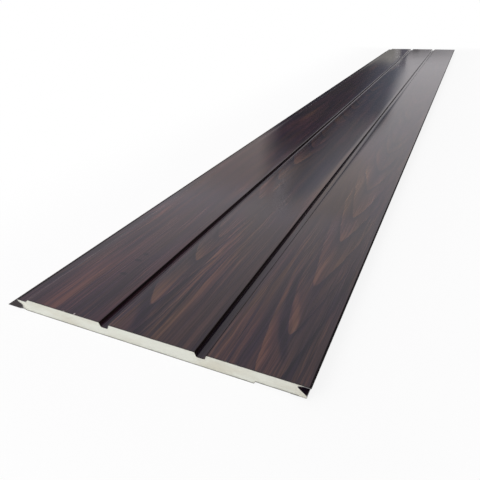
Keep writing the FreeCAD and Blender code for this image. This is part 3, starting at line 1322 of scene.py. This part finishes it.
@dataclass(frozen=True)
class Finishes:
    """All the panel's materials, built once."""

    film: bpy.types.Material
    rim: bpy.types.Material
    primer: bpy.types.Material
    steel: bpy.types.Material
    foam: bpy.types.Material
    foil: bpy.types.Material

    @classmethod
    def mixed(cls) -> "Finishes":
        """Builds the shared node groups and then every material.

        Returns:
            The materials.
        """
        streaks = stretched_noise_group()
        return cls(
            film=WoodGrainFilm().material(streaks, FlameGrain().tree(streaks)),
            rim=RimShadeFilm().material(streaks),
            primer=BackCoat().material(streaks),
            steel=CutSteel().material(streaks),
            foam=RigidFoam().material(streaks),
            foil=EmbossedFoil().material(streaks),
        )


# The panel's pieces


@dataclass
class FaceSheet:
    """The roll-formed steel sheet, with its film, its primer and its cut edges.

    The dish's waves are rows of height, length in metres and lag from one plank to the next.
    """

    section: PanelSection
    finishes: Finishes
    arc_steps: int = 7
    longest_step: float = 9.0
    station_spacing: float = 0.04
    level_within: float = 0.01
    dish_depth: float = 0.12 * MM
    dish_mean: float = 0.5
    dish_waves: tuple[Triple, ...] = ((0.3, 0.83, 1.9), (0.2, 0.31, 3.1))

    def line(self) -> SectionLine:
        """Samples the painted line, moved across to the model's frame."""
        sampled = rounded_line(self.section.sheet_bends(), self.arc_steps, self.longest_step)
        return sampled.moved(self.offset())

    def offset(self) -> np.ndarray:
        """Gives the way from the section's origin to the model's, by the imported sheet's flange edge."""
        low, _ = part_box("face_sheet")
        return np.array([low.x - self.section.flange_edge * MM, 0.0])

    def stations(self) -> np.ndarray:
        """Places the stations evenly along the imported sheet."""
        low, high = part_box("face_sheet")
        return np.linspace(low.y, high.y, round((high.y - low.y) / self.station_spacing) + 1)

    def at_top(self, line: SectionLine) -> np.ndarray:
        """Says which points of a line lie on the face's top plane."""
        return line.points[:, 1] > (self.section.panel_thickness - self.level_within) * MM

    def dish(self, line: SectionLine, stations: np.ndarray) -> np.ndarray:
        """Gives the depth to which each plank dishes between its shoulders.

        The depth is a parabola across each plank, from nothing at its shoulders, times a slow sum of sines
        along it.

        Args:
            line: the painted line.
            stations: places along the panel.

        Returns:
            Depths for the grid of stations by points.
        """
        across = (line.points[:, 0] - self.offset()[0]) / MM
        plank = np.floor(across / self.section.pitch)
        share = (across - plank * self.section.pitch) / self.section.plank_width
        on_plank = (across > 0) & (across < self.section.face_end) & (share < 1) & self.at_top(line)
        bowl = np.where(on_plank, 4 * share * (1 - share), 0.0)
        phase = stations[:, None] * 2 * math.pi
        swell = self.dish_mean
        for height, length, lag in self.dish_waves:
            swell = swell + height * np.sin(phase / length + plank * lag)
        return self.dish_depth * bowl * swell

    def rim(self, line: SectionLine) -> np.ndarray:
        """Says which steps of the painted line get the dull rim film, whose colour is painted shade.

        They are the tongue's tip, the lip's fold and the last plank's shoulder.

        Args:
            line: the painted line.

        Returns:
            True or false for each step.
        """
        size = self.section
        middle = (line.points[1:] + line.points[:-1]) / 2 - self.offset()
        across = middle[:, 0] / MM
        height = middle[:, 1] / MM
        tip_foot = size.panel_thickness - size.tongue_drop - size.tongue_tip_height
        on_tip = (across < size.rim_width - size.tongue_length) & (height > tip_foot)
        on_fold = (across > size.face_end - size.rim_width) & (height > size.hem_foot)
        shoulder = (size.plank_count - 1) * size.pitch
        on_shoulder = (abs(across - shoulder) < size.crease_width) & (height > size.hem_foot)
        return on_tip | on_fold | on_shoulder

    def build(self) -> bpy.types.Object:
        """Carries the wall along the panel and dresses it.

        Returns:
            The sheet.
        """
        line = self.line()
        stations = self.stations()
        normals = carried(line.normals, np.zeros(len(stations)))
        dished = normals * self.dish(line, stations)[..., None]
        painted = carried(line.points, stations) - dished
        back = carried(line.beside(-self.section.sheet_thickness * MM), stations) - dished
        parts = wall_parts(painted, back)
        steps = len(line.run) - 1
        painted_slots = parts.slots[: steps * (len(stations) - 1)].reshape(-1, steps)
        painted_slots[:, self.rim(line)] = WallSide.RIM
        unrolled = line.run - line.run[np.argmax(self.at_top(line))]
        place = carried(np.stack([unrolled, np.zeros(len(unrolled))], axis=-1), stations - stations[0])
        parts.attributes["film_place"] = np.concatenate([place.reshape(-1, 3)] * 2)
        coats = [self.finishes.film, self.finishes.primer, self.finishes.steel, self.finishes.rim]
        sheet = make_piece("panel_face_sheet", parts, coats)
        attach(sheet, "root")
        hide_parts("face_sheet")
        return sheet


@dataclass
class BackingFoil:
    """The foil on the panel's back, slightly crinkled, with a burr that the saw turned up at both ends."""

    section: PanelSection
    finishes: Finishes
    offset: np.ndarray
    stations: np.ndarray
    arc_steps: int = 4
    longest_step: float = 4.0
    crinkle: float = 0.3 * MM
    crinkle_start: float = 30.0 * MM
    crinkle_floor: float = 0.3
    crinkles: tuple[ReliefLayer, ...] = (
        ReliefLayer((0.09, 0.24), 11, 0.75),
        ReliefLayer((0.016, 0.05), 12, 0.45),
    )
    burr_height: float = 0.9 * MM
    burr_root: float = 0.8 * MM
    burr_least: float = 0.55
    burr_spread: float = 0.7
    burrs: tuple[ReliefLayer, ...] = (
        ReliefLayer((0.011, 1.0), 13, 0.6),
        ReliefLayer((0.003, 1.0), 14, 0.4),
    )

    def relief(self, places: np.ndarray) -> np.ndarray:
        """Gives how far the foil lifts off a flat back: broad swells with finer crinkles, flat at the ends.

        Args:
            places: points across and along the panel.

        Returns:
            The lift at each point.
        """
        from_end = np.minimum(places[..., 1] - self.stations[0], self.stations[-1] - places[..., 1])
        share = np.clip(from_end / self.crinkle_start, 0.0, 1.0)
        lifted = layered_relief(places, self.crinkles) - self.crinkle_floor
        return self.crinkle * share * np.clip(lifted, 0.0, None)

    def burr(self, across: np.ndarray) -> np.ndarray:
        """Gives the burr's height at places across the panel: an uneven strip, never quite gone."""
        places = np.stack([across, np.zeros(len(across))], axis=-1)
        return self.burr_height * (self.burr_least + self.burr_spread * layered_relief(places, self.burrs))

    def line(self) -> SectionLine:
        """Samples the foil's outer line, moved across to the model's frame."""
        sampled = rounded_line(self.section.foil_bends(), self.arc_steps, self.longest_step)
        return sampled.moved(self.offset)

    def build(self) -> bpy.types.Object:
        """Carries the foil along the panel, turns its ends up and dresses it.

        Each end has three rows at the cut, at the whole, half and none of the burr's height. The inner side
        is one thickness further in there.

        Returns:
            The foil.
        """
        line = self.line()
        thickness = self.section.foil_thickness * MM
        first, last = self.stations[0], self.stations[-1]
        near_end = [first] * 3 + [first + self.burr_root]
        far_end = [last - self.burr_root] + [last] * 3
        rows = np.concatenate([near_end, self.stations[1:-1], far_end])
        share = np.zeros(len(rows))
        share[:2] = (1.0, 0.5)
        share[-2:] = (0.5, 1.0)
        inward = np.zeros(len(rows))
        inward[:3] = thickness
        inward[-3:] = -thickness
        burr = share[:, None] * self.burr(line.points[:, 0])[None, :]
        outer = carried(line.points, rows)
        lift = self.relief(outer[..., :2]) + burr
        outer[..., 2] += lift
        inner = carried(line.beside(thickness), rows + inward)
        inner[..., 2] += lift
        parts = wall_parts(inner, outer)
        # the rows at both cuts get the burr's grey with painted shade
        torn = np.broadcast_to((inward != 0)[:, None], burr.shape).ravel().astype(float)
        parts.attributes["burr"] = np.concatenate([torn, torn])
        foil = make_piece("panel_backing_foil", parts, [self.finishes.foil] * 3)
        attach(foil, "root")
        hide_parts("backing_foil")
        return foil


@dataclass
class FoamCore:
    """The rigid foam between the sheet and the foil, sawn at both ends a little behind the sheet's cut."""

    INSIDE_ONLY = 1

    section: PanelSection
    finishes: Finishes
    sheet: FaceSheet
    foil: BackingFoil
    grain: float = 1.3 * MM
    shake: float = 0.6
    shake_seed: int = 5
    weld: float = 1.0e-4
    end_setback: float = 0.3 * MM
    saw_depth: float = 0.4 * MM
    saw_marks: tuple[ReliefLayer, ...] = (
        ReliefLayer((0.006, 0.02), 21, 0.45),
        ReliefLayer((0.0026, 0.0026), 22, 0.55),
    )
    skin_depth: float = 1.1 * MM

    def outline(self) -> np.ndarray:
        """Joins the sheet's back and the foil's inner side into the foam's closed outline.

        The foam follows the sheet's back from the flange root over the planks, is cut square where the hem
        closes, goes round the slot and the lower lip, and comes back along the foil.

        Returns:
            The outline's points, anticlockwise seen from the front, with the foil's side first.
        """
        size = self.section
        back = self.sheet.line().beside(-size.sheet_thickness * MM)
        across = (back[:, 0] - self.sheet.offset()[0]) / MM
        height = back[:, 1] / MM
        count = np.arange(len(back))
        hem = size.face_end - size.hem_width
        top = np.flatnonzero(height > size.panel_thickness - 2 * size.sheet_thickness)
        last_top = top[across[top] < hem].max()
        fold = count[(count > top.max()) & (across <= hem)].min()
        root = count[(height > size.flange_rise + size.sheet_thickness)].min()
        lap_end = size.lip_tip - size.return_width + size.foil_lap
        ending = count[(count > fold) & (across >= lap_end)].max()
        under_face = size.panel_thickness - size.sheet_thickness
        over_hem = size.hem_foot + size.sheet_thickness
        corners = np.array([[hem, under_face], [hem, over_hem]]) * MM
        bottom = self.foil.line().beside(size.foil_thickness * MM)[::-1]
        pieces = [back[root : last_top + 1], corners + self.sheet.offset(), back[fold : ending + 1], bottom]
        return np.concatenate(pieces)[::-1]

    def cap(self, outline: np.ndarray) -> tuple[np.ndarray, np.ndarray]:
        """Fills the outline with a fine net of triangles on a shaken lattice.

        Args:
            outline: the foam's outline.

        Returns:
            The net's points, with the outline first, and its triangles.
        """
        low = outline.min(axis=0)
        high = outline.max(axis=0)
        steps = [np.arange(low[axis], high[axis], self.grain) for axis in (0, 1)]
        knots = np.stack(np.meshgrid(*steps), axis=-1).reshape(-1, 2)
        drawn = np.random.default_rng(self.shake_seed).random(knots.shape)
        shaken = knots + (drawn - 0.5) * self.grain * self.shake
        points = np.concatenate([outline, shaken]) / MM
        around = list(range(len(outline)))
        found = delaunay_2d_cdt(points.tolist(), [], [around], self.INSIDE_ONLY, self.weld)
        net = np.array([tuple(point) for point in found[0]]) * MM
        triangles = np.array(found[2])
        used = np.unique(np.concatenate([np.arange(len(outline)), triangles.ravel()]))
        renumbered = np.zeros(len(net), dtype=int)
        renumbered[used] = np.arange(len(used))
        return net[used], renumbered[triangles]

    def build(self) -> bpy.types.Object:
        """Carries the outline along the panel, closes both ends with sawn faces and dresses the foam.

        Returns:
            The foam.
        """
        outline = self.outline()
        points, triangles = self.cap(outline)
        stations = self.foil.stations + 0.0
        stations[0] += self.end_setback
        stations[-1] -= self.end_setback
        rows = len(stations)
        columns = len(outline)
        ring = carried(outline, stations)
        on_foil = slice(0, len(self.foil.line().points))
        ring[:, on_foil, 2] += self.foil.relief(ring[:, on_foil, :2])
        sides = grid_quads(rows, columns + 1)
        sides = sides // (columns + 1) * columns + sides % (columns + 1) % columns
        inner = points[columns:]
        gap = np.linalg.norm(inner[:, None, :] - outline[None, :, :], axis=-1).min(axis=1)
        edge = np.clip(gap / self.skin_depth, 0.0, 1.0)
        depth = self.saw_depth * layered_relief(inner, self.saw_marks) * edge
        vertices = [ring.reshape(-1, 3)]
        faces = sides.tolist()
        skin = [np.ones(rows * columns)]
        for row, inward in ((0, 1.0), (rows - 1, -1.0)):
            along = stations[row] + inward * depth
            vertices.append(np.stack([inner[:, 0], along, inner[:, 1]], axis=-1))
            first = rows * columns + (len(inner) if row else 0)
            numbers = np.concatenate([row * columns + np.arange(columns), first + np.arange(len(inner))])
            net = numbers[triangles]
            faces += (net if inward > 0 else net[:, ::-1]).tolist()
            skin.append(1.0 - edge)
        parts = MeshParts(np.concatenate(vertices), faces, np.zeros(len(faces)))
        parts.attributes["skin"] = np.concatenate(skin)
        foam = make_piece("panel_foam_core", parts, [self.finishes.foam])
        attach(foam, "root")
        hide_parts("foam_core")
        return foam


# Studio


def stand(name: str, data: bpy.types.ID, place: Triple, turned: Quaternion) -> bpy.types.Object:
    """Stands a lamp or a camera in the scene.

    Args:
        name: its name.
        data: the lamp or camera.
        place: where it stands.
        turned: how it is turned.

    Returns:
        The new object.
    """
    made = bpy.data.objects.new(name, data)
    bpy.context.scene.collection.objects.link(made)
    made.rotation_mode = "QUATERNION"
    made.rotation_quaternion = turned
    made.location = place
    return made


class CardWall(Enum):
    """The side of the studio that a card stands at, which is the way it runs."""

    BACK = "across the panel"
    SIDE = "along the panel"


@dataclass(frozen=True)
class StudioCard:
    """A glowing card with soft edges, which the film reflects and the camera doesn't see, in metres.

    The card stands upright at its depth. Its foot and its head run from one place to another, the head above
    the foot unless it has places of its own. Softness is the share of the card that fades at each side, in
    the order foot, end, head and start. The radiance is given at the corners in the order foot's start,
    foot's end, head's end and head's start.
    """

    name: str
    depth: float
    foot: Pair
    heights: Pair
    softness: Quad
    radiance: Quad
    head: Optional[Pair] = None
    tint: Colour = (1.0, 0.98, 1.01, 1.0)
    wall: CardWall = CardWall.BACK
    steps: int = 40

    def corners(self) -> np.ndarray:
        """Gives the card's corners in the order of their radiance.

        Returns:
            Four points.
        """
        low, high = self.heights
        run = [*self.foot, *reversed(self.head or self.foot)]
        depth = [self.depth] * 4
        level = (run, depth) if self.wall is CardWall.BACK else (depth, run)
        return np.stack([*level, [low, low, high, high]], axis=-1)

    def material(self) -> bpy.types.Material:
        """Builds the card's material: its own radiance and tint, and clear where its cover ends.

        Returns:
            The material.
        """
        material = bpy.data.materials.new(self.name)
        bench = NodeBench.cleared(material)
        glow = bench.node("Emission")
        bench.wire(self.tint, glow.inputs["Color"])
        bench.wire(bench.attribute("card_level"), glow.inputs["Strength"])
        clear = bench.node("BsdfTransparent")
        bench.surface(bench.attribute("card_cover"), clear, glow, "OutputMaterial")
        return material

    def build(self) -> bpy.types.Object:
        """Makes the card as a bilinear patch between its corners.

        A point is the corners' sum, each weighted by u or 1 - u times v or 1 - v.

        Returns:
            The card.
        """
        share = np.linspace(0.0, 1.0, self.steps)
        v, u = np.meshgrid(share, share, indexing="ij")
        weights = np.stack([(1 - u) * (1 - v), u * (1 - v), u * v, (1 - u) * v], axis=-1)
        grid = weights @ self.corners()
        sides = [v, 1 - u, 1 - v, u]
        cover = np.prod([smooth_step(side / soft) for side, soft in zip(sides, self.softness)], axis=0)
        faces = grid_quads(self.steps, self.steps)
        parts = MeshParts(grid.reshape(-1, 3), faces.tolist(), np.zeros(len(faces)))
        parts.attributes["card_cover"] = cover.ravel()
        parts.attributes["card_level"] = (weights @ np.array(self.radiance)).ravel()
        card = make_piece(self.name, parts, [self.material()])
        card.visible_camera = False
        return card


STUDIO_CARDS = (
    StudioCard(
        "card_sky", depth=8.4, foot=(-18.0, 6.0), heights=(4.4, 13.5),
        softness=(0.06, 0.04, 0.04, 0.04), radiance=(0.92, 1.02, 0.86, 0.54),
        tint=(1.04, 0.98, 0.98, 1.0),
    ),
    StudioCard(
        "card_haze", depth=8.3, foot=(-18.0, 6.0), heights=(-0.5, 5.2),
        softness=(0.04, 0.04, 0.14, 0.04), radiance=(0.63, 0.63, 0.98, 0.98),
        tint=(1.015, 0.985, 1.015, 1.0),
    ),
    StudioCard(
        "card_warm", depth=8.28, foot=(-3.4, -1.0), heights=(2.5, 4.9),
        softness=(0.3, 0.3, 0.25, 0.2), radiance=(0.84, 0.86, 0.88, 0.86),
        tint=(1.09, 0.98, 0.92, 1.0),
    ),
    StudioCard(
        "card_left", depth=8.25, foot=(-9.0, -3.4), heights=(1.6, 4.8),
        softness=(0.3, 0.05, 0.35, 0.5), radiance=(0.48, 0.48, 0.8, 0.8),
        tint=(1.06, 0.93, 0.87, 1.0),
    ),
    StudioCard(
        "card_horizon", depth=8.2, foot=(-1.0, 0.6), heights=(-0.2, 0.96),
        softness=(0.05, 0.05, 0.25, 0.05), radiance=(0.08, 0.5, 0.62, 0.1),
    ),
    StudioCard(
        "card_low_left", depth=8.1, foot=(-9.0, -0.84), heights=(-0.2, 1.0),
        softness=(0.05, 0.01, 0.05, 0.1), radiance=(0.26, 0.26, 0.3, 0.3),
        tint=(1.02, 1.0, 0.93, 1.0),
    ),
    StudioCard(
        "card_ledge", depth=8.05, foot=(-4.0, -0.9), head=(-4.0, -0.95), heights=(0.76, 0.96),
        softness=(0.5, 0.05, 0.05, 0.1), radiance=(0.5, 0.5, 0.54, 0.54),
        tint=(1.02, 1.0, 0.93, 1.0),
    ),
    StudioCard(
        "card_core", depth=8.0, foot=(-3.95, -1.0), head=(-3.95, -3.0), heights=(0.8, 4.5),
        softness=(0.05, 0.04, 0.55, 0.34), radiance=(0.055, 0.055, 0.08, 0.08),
        tint=(0.94, 1.0, 1.02, 1.0),
    ),
    StudioCard(
        "card_ramp_low", depth=7.98, foot=(-1.6, -0.6), head=(-2.44, -0.94), heights=(0.81, 2.35),
        softness=(0.14, 0.28, 0.22, 0.5), radiance=(0.05, 0.23, 0.24, 0.05),
        tint=(0.84, 0.95, 1.16, 1.0),
    ),
    StudioCard(
        "card_ramp_high", depth=7.96, foot=(-2.2, -0.62), head=(-3.6, -2.9), heights=(1.75, 4.4),
        softness=(0.12, 0.25, 0.25, 0.45), radiance=(0.05, 0.25, 0.84, 0.25),
        tint=(0.95, 0.98, 1.06, 1.0),
    ),
    StudioCard(
        "card_post", depth=7.9, foot=(-0.9, -0.74), heights=(-0.1, 1.1),
        softness=(0.05, 0.3, 0.2, 0.3), radiance=(0.16, 0.16, 0.16, 0.16),
        tint=(0.95, 0.95, 1.12, 1.0),
    ),
    StudioCard(
        "card_stub", depth=7.92, foot=(-0.7, -0.53), heights=(0.4, 0.76),
        softness=(0.05, 0.3, 0.3, 0.3), radiance=(0.06, 0.06, 0.06, 0.06),
    ),
    StudioCard(
        "card_right", depth=1.5, foot=(-3.5, 4.5), heights=(0.0, 3.4),
        softness=(0.05, 0.1, 0.2, 0.1), radiance=(0.02, 0.02, 0.02, 0.02),
        wall=CardWall.SIDE,
    ),
)


@dataclass
class Studio:
    """The pale floor, the white surroundings, the soft key lamp and the cards that shape the reflections."""

    floor_reach: float = 60.0
    floor_rim: float = 2.4
    floor_flat: float = 0.6
    floor_steps: int = 41
    floor_colour: Colour = grey(0.93)
    floor_white: Quad = (0.02, 0.4, 0.88, 1.0)
    light_tint: Colour = (1.0, 0.98, 1.02, 1.0)
    low_level: float = 0.74
    high_level: float = 0.93
    top_level: float = 0.84
    rise: Pair = (0.1, 0.45)
    fall: Pair = (0.46, 0.7)
    key_power: float = 60.0
    key_place: Triple = (-1.8, -4.0, 3.2)
    key_size: float = 2.6
    key_aim: float = 0.6
    cards: tuple[StudioCard, ...] = STUDIO_CARDS

    def seen(self, bench: NodeBench) -> Socket:
        """Gives 1 for what the camera sees, straight, mirrored or through clear matter, and 0 for lighting.

        Args:
            bench: the bench of the floor's material or of the world.

        Returns:
            The value.
        """
        path = bench.node("LightPath")
        seen = bench.math("MAXIMUM", path.outputs["Is Camera Ray"], path.outputs["Is Glossy Ray"])
        return bench.math("MAXIMUM", seen, path.outputs["Is Transmission Ray"])

    def build_world(self) -> None:
        """Makes the surroundings white to look at and a plain pale light, brightest half way up."""
        world = bpy.data.worlds.new("studio_surroundings")
        bpy.context.scene.world = world
        bench = NodeBench.cleared(world)
        _, _, upward = bench.split(bench.node("TexCoord").outputs["Generated"])
        rising = bench.eased(upward, *self.rise, self.low_level, self.high_level)
        falling = bench.eased(upward, *self.fall, 0.0, self.high_level - self.top_level)
        light = bench.node("Background")
        bench.wire(self.light_tint, light.inputs["Color"])
        bench.wire(bench.math("SUBTRACT", rising, falling), light.inputs["Strength"])
        white = bench.node("Background")
        bench.wire(grey(1.0), white.inputs["Color"])
        bench.surface(self.seen(bench), light, white, "OutputWorld")

    def floor_material(self) -> bpy.types.Material:
        """Builds the floor's material: white to see and to reflect, with the panel's shadow close to it.

        Returns:
            The material.
        """
        material = bpy.data.materials.new("studio_floor")
        bench = NodeBench.cleared(material)
        _, high = CAD_BOX
        x, y, _ = bench.split(bench.object_place())
        beside = bench.math("MAXIMUM", bench.math("SUBTRACT", bench.math("ABSOLUTE", x), high.x), 0.0)
        beyond = bench.math("MAXIMUM", bench.math("SUBTRACT", bench.math("ABSOLUTE", y), high.y), 0.0)
        white_share = bench.eased(bench.math("MAXIMUM", beside, beyond), *self.floor_white)
        matt = bench.node("BsdfDiffuse")
        bench.wire(self.floor_colour, matt.inputs["Color"])
        share = bench.math("MULTIPLY", self.seen(bench), white_share)
        bench.surface(share, matt, bench.node("Emission"), "OutputMaterial")
        return material

    def build_floor(self) -> bpy.types.Object:
        """Lays the floor at the panel's underside, a square sheet whose rim rises smoothly far away.

        Returns:
            The floor.
        """
        low, _ = CAD_BOX
        share = np.linspace(-1.0, 1.0, self.floor_steps)
        v, u = np.meshgrid(share, share, indexing="ij")
        outward = (np.maximum(abs(u), abs(v)) - self.floor_flat) / (1 - self.floor_flat)
        height = low.z + self.floor_rim * smooth_step(outward)
        grid = np.stack([u * self.floor_reach, v * self.floor_reach, height], axis=-1).reshape(-1, 3)
        faces = grid_quads(self.floor_steps, self.floor_steps)
        parts = MeshParts(grid, faces.tolist(), np.zeros(len(faces)))
        floor = make_piece("studio_floor", parts, [self.floor_material()])
        return floor

    def build_key(self) -> None:
        """Hangs one large soft lamp to the front left, aimed at the panel's front end."""
        lamp = bpy.data.lights.new("key_softbox", "AREA")
        lamp.shape = "SQUARE"
        lamp.size = self.key_size
        lamp.energy = self.key_power
        low, _ = CAD_BOX
        aim = Vector((0.0, low.y * self.key_aim, 0.0)) - Vector(self.key_place)
        stand("key_softbox", lamp, self.key_place, aim.to_track_quat("-Z", "Y"))

    def build(self) -> None:
        """Builds the whole studio."""
        self.build_world()
        self.build_floor()
        self.build_key()
        for card in self.cards:
            card.build()


@dataclass(frozen=True)
class ViewingCamera:
    """The camera at the reference view: its place, its angles in degrees and its focal length in pixels."""

    place: Triple = (0.28685, -1.81102, 0.35094)
    yaw: float = -25.798
    pitch: float = 28.239
    roll: float = 1.928
    focal_pixels: float = 454.32
    sensor: float = 36.0
    clip_start: float = 0.01
    clip_end: float = 500.0

    def build(self) -> bpy.types.Object:
        """Sets up the camera.

        The view looks along yaw to the right of +Y and pitch below the horizon, and is then rolled.

        Returns:
            The camera.
        """
        yaw, pitch, roll = (math.radians(angle) for angle in (self.yaw, self.pitch, self.roll))
        level_reach = math.cos(pitch)
        forward = Vector((math.sin(yaw) * level_reach, math.cos(yaw) * level_reach, -math.sin(pitch)))
        level = Vector((math.cos(yaw), -math.sin(yaw), 0.0))
        down = forward.cross(level)
        right = level * math.cos(roll) + down * math.sin(roll)
        up = level * math.sin(roll) - down * math.cos(roll)
        data = bpy.data.cameras.new("viewing_camera")
        data.sensor_width = self.sensor
        data.lens = self.sensor * self.focal_pixels / PHOTO_PIXELS
        data.clip_start = self.clip_start
        data.clip_end = self.clip_end
        turned = Matrix((right, up, -forward)).transposed()
        camera = stand("viewing_camera", data, self.place, turned.to_quaternion())
        bpy.context.scene.camera = camera
        return camera


def main() -> None:
    """Builds the panel's pieces, the studio and the camera in order."""
    logging.basicConfig(level=logging.INFO, format="%(name)s: %(message)s")
    bpy.context.scene.view_settings.view_transform = "Standard"
    section = PanelSection()
    finishes = Finishes.mixed()
    sheet = FaceSheet(section, finishes)
    foil = BackingFoil(section, finishes, sheet.offset(), sheet.stations())
    foam = FoamCore(section, finishes, sheet, foil)
    for piece in (sheet, foil, foam):
        made = piece.build()
        LOG.info("%s: %d faces", made.name, len(made.data.polygons))
    Studio().build()
    ViewingCamera().build()


if __name__ == "__main__":
    main()
